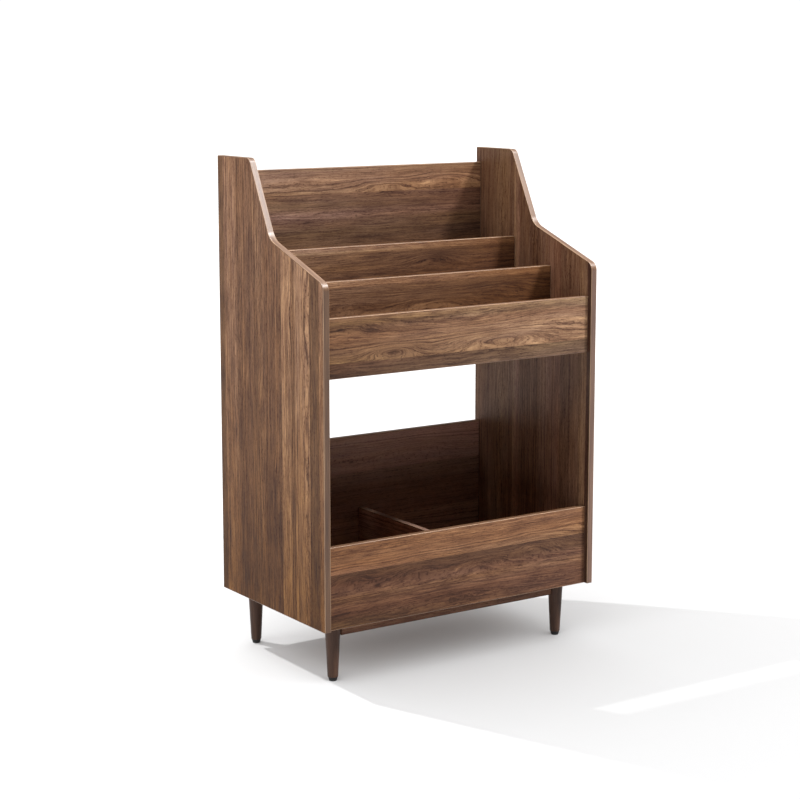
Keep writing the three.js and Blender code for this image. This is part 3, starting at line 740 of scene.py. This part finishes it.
walnut_side_in_r = walnut("walnut_side_right_in", "Z", "Y", "X", mm(TOP), mm(YB), H_SIDE, 445.0, IN_TONES, None,
                          joints=(152.0, 176.0, 256.0, 404.0), figure=((0, 0.7), (152.0, 0.2), (176.0, 0.9), (256.0, 0.6), (404.0, 0.8)),
                          bumps=[(170, 90, 120, 26, 18), (260, 215, 110, 20, 14), (250, 340, 120, 26, 16), (700, 90, 160, 26, 18), (640, 330, 200, 30, 16)],
                          seed=83.0, gain=G_RIGHT, s_along=-1.0, s_across=-1.0, ring=6.5, contrast=0.80, sheen=0.12, wander=4.0)

XL = -mm(XI)
LEN = 2 * mm(XI)


def board_walnut(name, node, left, right, **kw):
    lo, hi = B[node]
    return walnut(name, "X", "Z", "Y", XL, mm(hi.z), LEN, mm(hi.z - lo.z), left, right, **kw)


w_uf = board_walnut(
    "walnut_upper_front", "upper_front_board",
    [(0, (135, 100, 80)), (12, (125, 95, 70)), (24, (115, 85, 65)), (44, (130, 95, 75)), (80, (120, 90, 70)), (97.2, (125, 95, 70)), (98.2, (95, 65, 50)), (129, (90, 65, 50))],
    [(0, (150, 120, 95)), (14, (140, 110, 85)), (26, (135, 100, 80)), (48, (155, 120, 95)), (97.2, (150, 115, 90)), (98.2, (105, 80, 60)), (129, (110, 85, 70))],
    joints=(97.7,), figure=((0, 1.0), (97.7, 0.35)),
    bumps=[(165, 80, 62, 15, 30), (462, 75, 125, 19, 34), (300, 30, 240, 16, -12), (640, 40, 120, 18, 16), (60, 20, 90, 16, 12)],
    patch=[(165, 82, 26, 6, 0.30), (100, 26, 70, 7, 0.12), (300, 22, 160, 6, 0.08)], seed=11.0, gain=G_FRONT, ring=5.6, contrast=1.2)
w_lf = board_walnut(
    "walnut_lower_front", "lower_front_board",
    [(0, (135, 100, 75)), (30, (130, 95, 70)), (61.4, (135, 100, 80)), (62.4, (85, 60, 45)), (88, (90, 60, 45)), (106, (105, 75, 60)), (118, (115, 85, 65)), (134, (105, 75, 60)), (151, (90, 60, 45)), (170, (90, 65, 45)), (182, (95, 70, 50))],
    [(0, (140, 105, 80)), (34, (135, 100, 75)), (61.4, (135, 105, 80)), (62.4, (90, 65, 50)), (88, (95, 70, 55)), (104, (115, 85, 70)), (116, (125, 95, 75)), (138, (105, 75, 60)), (160, (105, 75, 60)), (182, (110, 80, 65))],
    joints=(61.9,), figure=((0, 1.0), (61.9, 0.4)),
    bumps=[(60, 70, 90, 26, 26), (230, 74, 90, 30, 30), (400, 80, 95, 34, 30), (560, 66, 90, 30, 30), (680, 30, 60, 20, 16), (330, 150, 190, 18, 14)],
    patch=[(290, 154, 70, 9, 0.14)], seed=23.0, gain=G_LOW, ring=5.6, contrast=1.15)
w_ub = board_walnut(
    "walnut_upper_back", "upper_back_board",
    [(0, (130, 100, 80)), (30, (135, 105, 85)), (59.5, (130, 100, 75)), (60.5, (110, 80, 60)), (88, (105, 80, 60)), (108, (125, 95, 80)), (122, (105, 75, 60)), (134, (115, 85, 65)), (148, (100, 75, 55)), (225, (110, 80, 60)), (226, (125, 95, 75)), (330, (120, 90, 70)), (411.5, (110, 80, 60))],
    [(0, (140, 110, 85)), (30, (150, 115, 90)), (59.5, (150, 115, 85)), (60.5, (105, 75, 60)), (88, (105, 75, 60)), (108, (120, 90, 75)), (124, (100, 75, 55)), (160, (95, 70, 55)), (225, (105, 75, 55)), (226, (130, 95, 75)), (330, (125, 90, 70)), (411.5, (110, 80, 60))],
    joints=(60.0, 225.5), figure=((0, 0.9), (60.0, 0.4), (225.5, 0.9)),
    bumps=[(600, 30, 110, 22, 26), (420, 44, 90, 16, 18), (180, 20, 150, 16, 12), (330, 100, 230, 14, 8), (250, 300, 150, 26, 24), (520, 310, 150, 26, 24)],
    seed=37.0, gain=G_BACK, ring=5.8)
w_dr = board_walnut(
    "walnut_divider_rear", "tier_divider_rear",
    [(0, (145, 110, 90)), (12, (140, 110, 85)), (17, (110, 80, 60)), (60, (105, 75, 55)), (130, (110, 80, 60)), (227, (105, 75, 55))],
    [(0, (150, 115, 90)), (13, (145, 110, 85)), (18, (105, 75, 55)), (60, (100, 70, 55)), (130, (110, 80, 60)), (227, (105, 75, 55))],
    joints=(15.0, 120.0), figure=((0, 0.4), (15.0, 0.5), (120.0, 0.9)),
    bumps=[(460, 38, 70, 16, 16), (200, 160, 140, 24, 20), (500, 170, 140, 24, 20)],
    patch=[(468, 34, 42, 16, 0.26)], seed=41.0, gain=G_MID, ring=5.8)
w_df = board_walnut(
    "walnut_divider_front", "tier_divider_front",
    [(0, (140, 105, 80)), (12, (135, 100, 75)), (17, (105, 75, 55)), (60, (105, 75, 55)), (110, (110, 80, 60)), (169, (105, 75, 55))],
    [(0, (145, 110, 85)), (12, (140, 105, 80)), (17, (105, 75, 55)), (60, (100, 70, 50)), (110, (110, 80, 60)), (169, (105, 75, 55))],
    joints=(14.5,), figure=((0, 0.3), (14.5, 0.75)),
    bumps=[(120, 50, 120, 20, 18), (380, 60, 130, 22, 22), (560, 40, 90, 18, 16)], seed=47.0, gain=G_MID, ring=5.8)
w_lb = board_walnut(
    "walnut_lower_back", "lower_back_board",
    [(0, (125, 95, 70)), (88, (120, 85, 65)), (90, (105, 75, 55)), (200, (110, 80, 60)), (202, (120, 90, 70)), (320, (115, 85, 60))],
    [(0, (130, 95, 75)), (88, (115, 85, 65)), (90, (100, 75, 55)), (200, (105, 75, 55)), (202, (120, 90, 65)), (320, (110, 80, 60))],
    joints=(89.0, 201.0), figure=((0, 0.8), (89.0, 0.4), (201.0, 0.9)),
    bumps=[(200, 40, 150, 24, 24), (500, 46, 150, 24, 22), (340, 260, 180, 26, 24)], seed=53.0, gain=G_BIN, ring=5.8, contrast=0.4, lines=0.4)
w_rear = board_walnut(
    "walnut_lower_back_out", "lower_back_board",
    [(0, (125, 90, 70)), (118, (115, 85, 65)), (119, (105, 75, 55)), (205, (110, 80, 60)), (206, (125, 90, 70)), (320, (115, 85, 60))],
    [(0, (130, 95, 75)), (118, (120, 85, 65)), (119, (100, 75, 55)), (205, (105, 75, 55)), (206, (120, 90, 70)), (320, (110, 80, 60))],
    joints=(118.5, 205.5), figure=((0, 0.9), (118.5, 0.4), (205.5, 0.8)),
    bumps=[(220, 56, 170, 24, 24), (520, 50, 130, 22, 22), (340, 262, 180, 26, 22)], seed=97.0, gain=G_REAR, ring=5.8)


def flat_walnut(name, node, across, o_across, width, tones, **kw):
    return walnut(name, "X", across, "Z", XL, o_across, LEN, width, tones, None, **kw)


SHELF_Y0, SHELF_Y1 = B["tier_shelf"][0].y, B["tier_shelf"][1].y
w_flat = flat_walnut("walnut_shelves", "tier_shelf", "Y", mm(SHELF_Y1), mm(SHELF_Y1 - SHELF_Y0),
                     [(0, (120, 85, 65)), (130, (110, 80, 60)), (132, (130, 100, 75)), (262, (125, 90, 70)), (264, (110, 80, 60)), (400, (115, 85, 60))],
                     joints=(131.0, 263.0), figure=((0, 0.5), (131.0, 0.9), (263.0, 0.5)),
                     bumps=[(200, 195, 150, 26, 24), (500, 200, 150, 26, 24)], seed=61.0, gain=G_FLAT, ring=5.8)
w_floor = flat_walnut("walnut_bin_floor", "bottom_panel", "Y", mm(B["bottom_panel"][1].y), mm(B["bottom_panel"][1].y - B["bottom_panel"][0].y),
                      [(0, (115, 85, 65)), (146, (110, 80, 60)), (148, (125, 95, 70)), (290, (120, 90, 65)), (292, (110, 80, 60)), (430, (115, 80, 60))],
                      joints=(147.0, 291.0), figure=((0, 0.9), (147.0, 0.5), (291.0, 0.8)),
                      bumps=[(190, 80, 150, 26, 24), (520, 350, 160, 26, 24)], seed=101.0, gain=G_FLOOR, ring=5.8, contrast=0.8)
w_bin = walnut("walnut_bin_divider", "Y", "Z", "X", mm(YF), mm(B["bin_divider"][1].z), 445.0, mm(B["bin_divider"][1].z - B["bin_divider"][0].z),
               [(0, (125, 90, 70)), (60, (115, 85, 65)), (131, (110, 80, 60))], None,
               figure=((0, 0.7),), bumps=[(200, 60, 130, 22, 20)], seed=67.0, gain=G_IN, ring=5.8)

# The left band's vertical runs take painted shade and the right band's a paler painted sheen; both bands take a painted
# highlight where they face up.
band_left = edge_band("walnut_band_left", "X", (138, 108, 87), gain=G_BAND, seed=1.0, upright=(0.60, 0.56, 0.54), up_facing_highlight=(1.04, 1.22, 1.62))
band_right = edge_band("walnut_band_right", "X", (138, 108, 87), gain=G_BAND, seed=8.0, upright=(1.0, 1.06, 1.42), up_facing_highlight=(1.04, 1.22, 1.62))
band_board = edge_band("walnut_band_board", "Y", (118, 90, 71), gain=G_BAND, seed=2.0)
# Pale arris colours: a rubbed edge of the face sheet together with a painted highlight along the arris.
arris_highlight_and_wear_side = edge_band("walnut_arris_highlight_and_wear_side", "X", (184, 156, 134), gain=G_BAND, seed=5.0)
arris_highlight_and_wear_board = edge_band("walnut_arris_highlight_and_wear_board", "Y", (182, 150, 126), gain=G_BAND, seed=6.0)
rub_flat = edge_band("walnut_rubbed_shelf", "Z", (140, 110, 88), gain=0.9, seed=7.0)
band_flat = edge_band("walnut_band_shelf", "Z", (140, 108, 86), gain=1.0, seed=3.0)
band_bin = edge_band("walnut_band_bin", "X", (126, 98, 84), gain=1.0, seed=4.0)
seam = seam_line("band_glue_line", (66, 44, 34))
leg_wood = turned_wood("leg_wood", (75, 52, 40), 1.0)
rail_wood = walnut("walnut_rails", "X", "Z", "Y", XL, mm(LIFT), LEN, 30.0, [(0, (105, 70, 50)), (30, (100, 65, 45))], None,
                   figure=((0, 0.4),), seed=71.0, gain=1.0, ring=5.5)
black_plastic = moulded("glide_plastic", (10, 10, 10), 0.5)
zinc = metal("zinc_plate", (176, 178, 180), 0.34, 70.0, (300.0, 2600.0, 300.0))
cast = metal("cast_zinc", (150, 151, 152), 0.48, 240.0)
dowel_wood = beech("beech_dowel_wood")

# ------------------------------------------------------------------ bores, where the CAD's fasteners are
DOWEL_R = 4.5 * MM
CAM_R = 7.7 * MM


def node_axis(n):
    lo, hi = B[n]
    return (lo + hi) / 2, lo, hi


def dowel_cut(prefix, ends=True):
    """The two dowel bores in the ends of a board."""
    out = []
    for side in ("left", "right"):
        c, lo, hi = node_axis(f"dowel_{prefix}_{side}")
        out.append(bore_mesh("X", lo.x - MM, hi.x + MM, c.y, c.z, DOWEL_R))
    return out


def panel_cut(side):
    out = []
    for n in B:
        if n.startswith("dowel_") and n.endswith("_" + side):
            c, lo, hi = node_axis(n)
            out.append(bore_mesh("X", lo.x - MM, hi.x + MM, c.y, c.z, DOWEL_R))
        if n.startswith("cam_bolt_") and n.endswith("_" + side):
            c, lo, hi = node_axis(n)
            s = 1 if side == "right" else -1
            a, b = s * (XI - MM), s * (XI + 11 * MM)
            out.append(bore_mesh("X", min(a, b), max(a, b), c.y, c.z, 3.5 * MM))
    return out


def cam_cut(where):
    out = []
    for n in B:
        if n.startswith(f"cam_lock_{where}_"):
            c, lo, hi = node_axis(n)
            out.append(bore_mesh("Z", lo.z - MM, lo.z + 12.5 * MM, c.x, c.y, CAM_R, 48))
            s = 1 if c.x > 0 else -1
            a, b = s * (XI + MM), c.x
            out.append(bore_mesh("X", min(a, b), max(a, b), c.y, lo.z + 7.5 * MM, 4.4 * MM))
    return out


made = {}


def stand_for(o, node):
    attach(o, "root")
    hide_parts(node)
    made[node] = o
    return o


# ------------------------------------------------------------------ side panels
OUTLINE = [
    (YB, LIFT, 0), (YB, TOP, 0), (81 * MM, TOP, 18 * MM), (-5 * MM, 952.4 * MM, 46 * MM),
    (YF, 875.7 * MM, 22 * MM), (YF, LIFT, 0),
]
outline = filleted(OUTLINE, 20)
stand_for(profiled_panel("panel_left", L_LO.x, L_HI.x, outline, [walnut_side_out_l, walnut_side_in_l, band_left, seam, arris_highlight_and_wear_side], cutters=panel_cut("left")), "side_panel_left")
stand_for(profiled_panel("panel_right", R_LO.x, R_HI.x, outline, [walnut_side_in_r, walnut_side_out_r, band_right, seam, arris_highlight_and_wear_side], cutters=panel_cut("right")), "side_panel_right")

# ------------------------------------------------------------------ boards
END = 0.15 * MM                               # each end stands this far off the side panel


def upright(name, node, mat, cutters, slot="walnut_board", rear=None):
    lo, hi = B[node]
    lo, hi = Vector((lo.x + END, lo.y, lo.z)), Vector((hi.x - END, hi.y, hi.z))
    return stand_for(arrised_board(name, lo, hi, 1, [mat, rear or mat, band_board, seam, arris_highlight_and_wear_board], cutters=cutters), node)


bin_bores = []
c, lo, hi = node_axis("dowel_bin_divider_front")
front_bin = (lo.y, hi.y, c.x, c.z)
c, lo, hi = node_axis("dowel_bin_divider_back")
back_bin = (lo.y, hi.y, c.x, c.z)


def bin_bore(spec):
    return bore_mesh("Y", spec[0] - MM, spec[1] + MM, spec[2], spec[3], DOWEL_R)


upright("front_upper", "upper_front_board", w_uf, dowel_cut("upper_front"))
upright("front_lower", "lower_front_board", w_lf, dowel_cut("lower_front") + [bin_bore(front_bin)])
upright("back_upper", "upper_back_board", w_ub, dowel_cut("upper_back"))
upright("back_lower", "lower_back_board", w_lb, dowel_cut("lower_back") + [bin_bore(back_bin)], rear=w_rear)
upright("divider_front", "tier_divider_front", w_df, dowel_cut("divider_front"))
upright("divider_rear", "tier_divider_rear", w_dr, dowel_cut("divider_rear"))


def level(name, node, cutters, face):
    lo, hi = B[node]
    lo, hi = Vector((lo.x + END, lo.y + END, lo.z)), Vector((hi.x - END, hi.y - END, hi.z))
    return stand_for(arrised_board(name, lo, hi, 2, [face, face, band_flat, seam, rub_flat], arris=0.0007, cutters=cutters), node)


level("shelf", "tier_shelf", cam_cut("shelf"), w_flat)
hanger_bores = []
for n in B:
    if n.startswith("hanger_bolt_"):
        c, lo, hi = node_axis(n)
        hanger_bores.append(bore_mesh("Z", LIFT - MM, LIFT + 9 * MM, c.x, c.y, 5 * MM))
level("bin_floor", "bottom_panel", cam_cut("bottom") + hanger_bores, w_floor)

lo, hi = B["bin_divider"]
stand_for(arrised_board("bin_partition", Vector((lo.x, lo.y + END, lo.z)), Vector((hi.x, hi.y - END, hi.z)), 0,
                        [w_bin, w_bin, band_bin, seam, arris_highlight_and_wear_board], cutters=[bin_bore(front_bin), bin_bore(back_bin)]), "bin_divider")

def box_mesh(lo, hi):
    bm = bmesh.new()
    size = [b - a for a, b in zip(lo, hi)]
    centre = [(b + a) / 2 for a, b in zip(lo, hi)]
    bmesh.ops.create_cube(bm, size=1.0, matrix=Matrix.Translation(centre) @ Matrix.Diagonal((*size, 1)))
    return bm


PLATE_IN = B["leg_plate_front_right"][0].x - MM    # where a rail's notch for the leg plate starts
for side in ("front", "rear"):
    lo, hi = B[f"cross_rail_{side}"]
    notches = [box_mesh((a, lo.y - MM, hi.z - 3 * MM), (b, hi.y + MM, hi.z + MM)) for a, b in ((-W2, -PLATE_IN), (PLATE_IN, W2))]
    rail = arrised_board(f"rail_{side}", lo, hi, 1, [rail_wood, rail_wood, rail_wood, seam, rail_wood], arris=0.0012, cutters=notches)
    stand_for(rail, f"cross_rail_{side}")

# ------------------------------------------------------------------ legs, glides, plates
for spot in ("front_left", "front_right", "back_left", "back_right"):
    lo, hi = B[f"leg_{spot}"]
    cx, cy = (lo.x + hi.x) / 2, (lo.y + hi.y) / 2
    z0, z1 = lo.z, hi.z
    top_r, foot_r = (hi.x - lo.x) / 2, 11.7 * MM
    prof = [(0, z0 + 15 * MM), (2.5 * MM, z0 + 15 * MM), (2.5 * MM, z0)]
    prof += arc(foot_r - 1.4 * MM, z0 + 1.4 * MM, 1.4 * MM, -90, -3, 5)
    prof += [(foot_r + (top_r - foot_r) * t, z0 + 1.4 * MM + (z1 - 2.2 * MM - z0) * t) for t in (0.25, 0.5, 0.75)]
    prof += arc(top_r - 1.2 * MM, z1 - 1.2 * MM, 1.2 * MM, 0, 90, 5)
    prof += [(4.5 * MM, z1), (4.5 * MM, z1 - 30 * MM), (0, z1 - 30 * MM)]
    leg = turned(f"turned_leg_{spot}", prof, (cx, cy, 0), [leg_wood], 72)
    stand_for(leg, f"leg_{spot}")

    glo, ghi = B[f"glide_{spot}"]
    r0, r1 = 8.6 * MM, 10.4 * MM
    h = 8.5 * MM
    prof = [(0, 0), (r0 - 2.4 * MM, 0)] + arc(r0 - 1.1 * MM, 1.1 * MM, 1.1 * MM, -90, -8, 5)
    prof += arc(r1 - 0.9 * MM, h - 0.9 * MM, 0.9 * MM, 5, 90, 5)
    prof += [(1.9 * MM, h), (1.9 * MM, h + 12.6 * MM), (0.5 * MM, ghi.z), (0, ghi.z)]
    foot = turned(f"foot_glide_{spot}", prof, (cx, cy, 0), [black_plastic], 56)
    stand_for(foot, f"glide_{spot}")


def leg_plate(name, node):
    lo, hi = B[node]
    c = (lo + hi) / 2
    half = (hi.x - lo.x) / 2
    loop = filleted([(-half, -half, 5 * MM), (half, -half, 5 * MM), (half, half, 5 * MM), (-half, half, 5 * MM)], 6)
    bm = bmesh.new()
    a = [bm.verts.new((c.x + p.x, c.y + p.y, lo.z)) for p in loop]
    d = [bm.verts.new((c.x + p.x, c.y + p.y, hi.z)) for p in loop]
    bm.faces.new(a)
    bm.faces.new(d)
    for i in range(len(loop)):
        j = (i + 1) % len(loop)
        bm.faces.new((a[i], a[j], d[j], d[i]))
    bmesh.ops.recalc_face_normals(bm, faces=bm.faces)
    bmesh.ops.bevel(bm, geom=[e for e in bm.edges if e.verts[0].co.z == e.verts[1].co.z], offset=0.35 * MM, offset_type="OFFSET", segments=3, profile=0.5, affect="EDGES")
    o = new_object(name, bm, [zinc])
    cutters = [bore_mesh("Z", lo.z - MM, hi.z + MM, c.x, c.y, 4.5 * MM)]
    for i in (-1, 1):
        for j in (-1, 1):
            cutters.append(bore_mesh("Z", lo.z - MM, hi.z + MM, c.x + i * 15.5 * MM, c.y + j * 15.5 * MM, 2.2 * MM, 28))
    cut(o, cutters)
    return weighted(o)


for spot in ("front_left", "front_right", "back_left", "back_right"):
    stand_for(leg_plate(f"steel_plate_{spot}", f"leg_plate_{spot}"), f"leg_plate_{spot}")

# Pan-head screws through the plates into the bottom panel
screws = bmesh.new()
for spot in ("front_left", "front_right", "back_left", "back_right"):
    lo, hi = B[f"leg_plate_{spot}"]
    c = (lo + hi) / 2
    for i in (-1, 1):
        for j in (-1, 1):
            at = (c.x + i * 15.5 * MM, c.y + j * 15.5 * MM, lo.z)
            prof = [(0, -2.3 * MM), (1.2 * MM, -2.25 * MM), (2.3 * MM, -1.85 * MM), (3.1 * MM, -1.2 * MM), (3.5 * MM, -0.5 * MM), (3.5 * MM, -0.02 * MM),
                    (1.75 * MM, -0.02 * MM), (1.75 * MM, 9.5 * MM), (0.2 * MM, 12.5 * MM), (0, 12.5 * MM)]
            o = turned("screw_tmp", prof, at, [], 28)
            for w, d in ((3.6, 0.8), (0.8, 3.6)):
                bb = bmesh.new()
                bmesh.ops.create_cube(bb, size=1.0, matrix=Matrix.Translation((at[0], at[1], lo.z - 2.1 * MM)) @ Matrix.Diagonal((w * MM, d * MM, 2.2 * MM, 1)))
                cut(o, [bb])
            screws.from_mesh(o.data)
            bpy.data.objects.remove(o)
plate_screws = new_object("plate_screws", screws, [zinc])
plate_screws.data.set_sharp_from_angle(angle=math.radians(35))
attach(plate_screws, "root")

# ------------------------------------------------------------------ fasteners that stay as the CAD has them
for n, o in frame["nodes"].items():
    if n in made:
        continue
    if n.startswith("dowel_"):
        mat, slot = dowel_wood, "beech_dowel"
    elif n.startswith("cam_lock_"):
        mat, slot = cast, "cast_zinc"
    else:
        mat, slot = zinc, "zinc_steel"
    for s in o.material_slots:
        s.link = "OBJECT"
        s.material = mat

# ------------------------------------------------------------------ floor, light, camera
bm = bmesh.new()
bmesh.ops.create_circle(bm, cap_ends=True, cap_tris=False, radius=45.0, segments=96)
floor_mat, k, b = material("pale_floor")
tc = k.new("ShaderNodeTexCoord")
n = k.noise(tc.outputs["Object"], 3.0, 0.5, scale=1.3)
mottle = k.ramp(n, [(0.2, (0.548, 0.548, 0.551, 1)), (0.8, (0.556, 0.556, 0.558, 1))])
sep = k.new("ShaderNodeSeparateXYZ")
k.t.links.new(tc.outputs["Object"], sep.inputs[0])
reach = k.math("SQRT", k.math("ADD", k.math("MULTIPLY", sep.outputs[0], sep.outputs[0]), k.math("MULTIPLY", sep.outputs[1], sep.outputs[1])))
k.feed(b.inputs["Base Color"], k.mix(k.lerp_range(reach, 2.0, 5.0, smooth=True), mottle, (0.74, 0.74, 0.742, 1)))
b.inputs["Roughness"].default_value = 0.85
b.inputs["Specular IOR Level"].default_value = 0.1
floor = new_object("floor", bm, [floor_mat])


def sun(name, toward_light, strength, angle, colour=(1, 1, 1)):
    data = bpy.data.lights.new(name, "SUN")
    data.energy = strength
    data.angle = math.radians(angle)
    data.color = colour
    o = bpy.data.objects.new(name, data)
    scene.collection.objects.link(o)
    o.rotation_mode = "QUATERNION"
    o.rotation_quaternion = Vector(toward_light).to_track_quat("Z", "Y")
    o.location = Vector(toward_light) * 4
    return o


def lamp(name, at, power, radius):
    data = bpy.data.lights.new(name, "POINT")
    data.energy = power
    data.shadow_soft_size = radius
    o = bpy.data.objects.new(name, data)
    scene.collection.objects.link(o)
    o.location = at
    o.visible_camera = False
    return o


def spot(name, at, aim, power, radius, cone):
    data = bpy.data.lights.new(name, "SPOT")
    data.energy = power
    data.shadow_soft_size = radius
    data.spot_size = math.radians(cone)
    data.spot_blend = 0.3
    o = bpy.data.objects.new(name, data)
    scene.collection.objects.link(o)
    o.rotation_mode = "QUATERNION"
    o.rotation_quaternion = (Vector(aim) - Vector(at)).to_track_quat("-Z", "Y")
    o.location = at
    o.visible_camera = False
    return o


def softbox(name, at, toward, power, size):
    data = bpy.data.lights.new(name, "AREA")
    data.shape = "SQUARE"
    data.size = size
    data.energy = power
    o = bpy.data.objects.new(name, data)
    scene.collection.objects.link(o)
    o.rotation_mode = "QUATERNION"
    o.rotation_quaternion = Vector(toward).to_track_quat("-Z", "Y")
    o.location = at
    o.visible_camera = False
    return o


# Flags and screens: some lights reach only the floor, some only the rack
floor_only = bpy.data.collections.new("lit_floor")
floor_only.objects.link(floor)
rack_only = bpy.data.collections.new("lit_rack")
for o in scene.objects:
    if o.type == "MESH" and o != floor:
        rack_only.objects.link(o)

sun("overhead_soft", (-0.05, -0.10, 1.0), 7.4, 45).light_linking.receiver_collection = rack_only
sun("key_front_right", (0.55, -0.58, 1.0), 4.8, 10).light_linking.receiver_collection = rack_only
softbox("fill_left", (-2.20, 0.10, 1.30), (1.0, 0.0, -0.05), 16, 0.8).light_linking.receiver_collection = rack_only
sun("floor_dome", (-0.10, -0.10, 1.0), 4.5, 160).light_linking.receiver_collection = floor_only
sun("floor_fill", (-1.0, -0.5, 0.5), 1.6, 60).light_linking.receiver_collection = floor_only
sun("floor_fill_front", (0.5, -1.0, 0.55), 0.9, 70).light_linking.receiver_collection = floor_only
lamp("lamp_behind_left", (-1.20, 2.04, 2.52), 300, 0.05).light_linking.receiver_collection = floor_only
spot("spot_through_window", (-1.20, 2.04, 2.04), (0.36, -0.64, 0.0), 150, 0.015, 11.5).light_linking.receiver_collection = floor_only

world = bpy.data.worlds.new("studio")
scene.world = world
world.use_nodes = True
wt = world.node_tree
for n in list(wt.nodes):
    wt.nodes.remove(n)
wo = wt.nodes.new("ShaderNodeOutputWorld")
seen = wt.nodes.new("ShaderNodeBackground")
seen.inputs["Color"].default_value = (1, 1, 1, 1)
seen.inputs["Strength"].default_value = 1.05
lit = wt.nodes.new("ShaderNodeBackground")
lit.inputs["Color"].default_value = (1, 1, 1, 1)
lit.inputs["Strength"].default_value = 0.12
path = wt.nodes.new("ShaderNodeLightPath")
mixer = wt.nodes.new("ShaderNodeMixShader")
wt.links.new(path.outputs["Is Camera Ray"], mixer.inputs[0])
wt.links.new(lit.outputs[0], mixer.inputs[1])
wt.links.new(seen.outputs[0], mixer.inputs[2])
wt.links.new(mixer.outputs[0], wo.inputs["Surface"])

cam_data = bpy.data.cameras.new("camera")
cam = bpy.data.objects.new("camera", cam_data)
scene.collection.objects.link(cam)
cam_data.sensor_width = 36.0
cam_data.lens = 87.416
cam_data.shift_x = 0.0
cam_data.shift_y = -0.04
cam_data.clip_end = 200.0
yaw, pitch = math.radians(33.918), math.radians(9.158)
cam.location = (-2.45465, -3.61465, 1.34381)
cam.rotation_mode = "QUATERNION"
cam.rotation_quaternion = Vector((math.sin(yaw) * math.cos(pitch), math.cos(yaw) * math.cos(pitch), -math.sin(pitch))).to_track_quat("-Z", "Y")
scene.camera = cam
scene.view_settings.view_transform = "Standard"
scene.view_settings.look = "None"
scene.view_settings.exposure = 0.0
scene.view_settings.gamma = 1.0

# ------------------------------------------------------------------ the end
bpy.context.view_layer.update()
